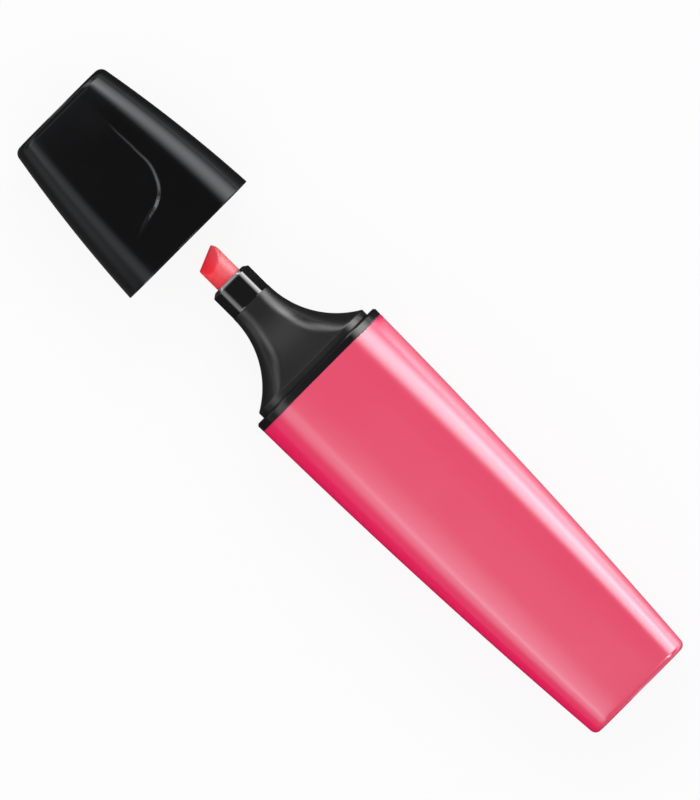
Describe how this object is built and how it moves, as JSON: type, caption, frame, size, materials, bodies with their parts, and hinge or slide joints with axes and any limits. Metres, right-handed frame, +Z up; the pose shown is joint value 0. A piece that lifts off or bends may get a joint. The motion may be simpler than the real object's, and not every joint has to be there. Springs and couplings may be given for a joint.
{
  "type": "highlighter pen",
  "caption": "Flat highlighter with a tapering pink barrel, black concave grip section, slanted chisel nib, and a flat black cap pulled off ahead of the nib.",
  "frame": {"origin": "on the resting surface, under the middle of the whole object's box, with the pen lying on a broad face", "axes": "+X along the pen's axis from the tail to the nib and on to the cap, +Y across the width, +Z up out of the broad front face"},
  "size_m": [0.1342, 0.0272, 0.0174],
  "materials": {
    "fluorescent_plastic": "satin gloss fluorescent pink",
    "gloss_black_plastic": "gloss",
    "satin_black_plastic": "satin, fine moulded grain",
    "nib_fibre": "matt ink-soaked fibre",
    "reservoir_fibre": "matt ink-soaked fibre",
    "clear_film": "thin plain film"
  },
  "bodies": {
    "pen": {"barrel": "fluorescent_plastic", "collar": "gloss_black_plastic", "grip_section": "satin_black_plastic", "nib_holder": "gloss_black_plastic", "nib": "nib_fibre", "ink_reservoir": "reservoir_fibre", "reservoir_film": "clear_film"},
    "cap": {"cap_shell": "gloss_black_plastic", "inner_cap": "satin_black_plastic"}
  },
  "joints": [
    {"name": "cap_pull", "type": "slide", "parent": "pen", "child": "cap", "axis": [1, 0, 0], "range_m": [-0.02925, 0]}
  ]
}
